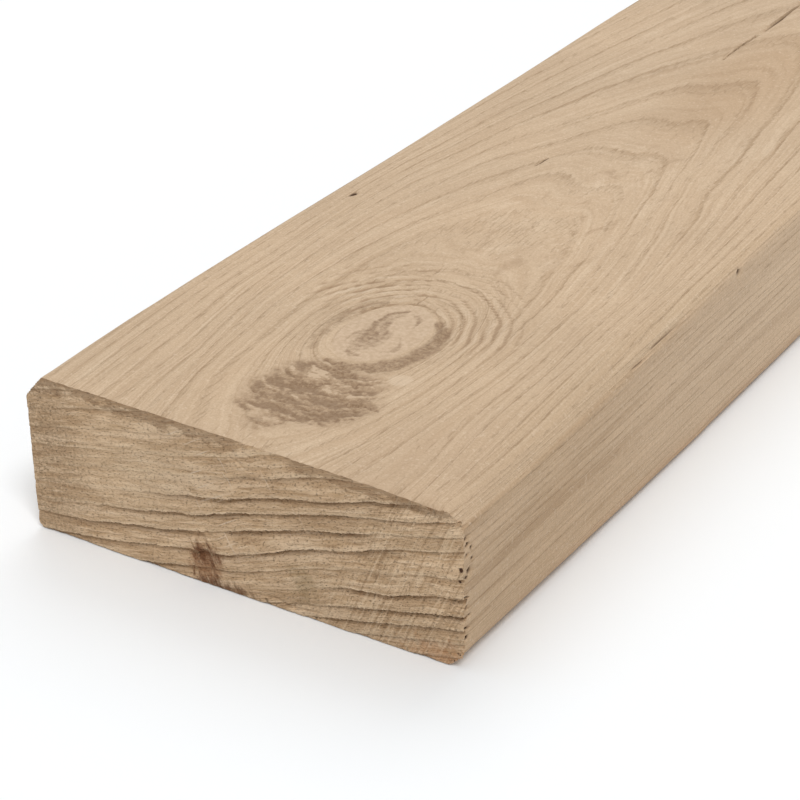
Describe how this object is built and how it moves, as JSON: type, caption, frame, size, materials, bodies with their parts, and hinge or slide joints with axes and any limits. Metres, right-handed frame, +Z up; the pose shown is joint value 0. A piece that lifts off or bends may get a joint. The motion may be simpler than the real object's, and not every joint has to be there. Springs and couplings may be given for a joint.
{
  "type": "aged oak beam",
  "caption": "Solid rectangular oak beam with rough sawn ends and hand-worn, wandering long edges, for a mantel, shelf or lintel.",
  "frame": {"origin": "bottom centre of the beam's box, on the face it lies on", "axes": "+Y along the beam from the front end to the rear end, +X across it towards the right side, +Z up out of the top face"},
  "size_m": [0.2, 1.2, 0.07],
  "materials": {
    "aged_oak": "dry, unfinished aged oak: smooth planed and brushed long faces, torn rough-sawn ends"
  },
  "bodies": {
    "root": {"oak_beam": "aged_oak"}
  },
  "joints": []
}
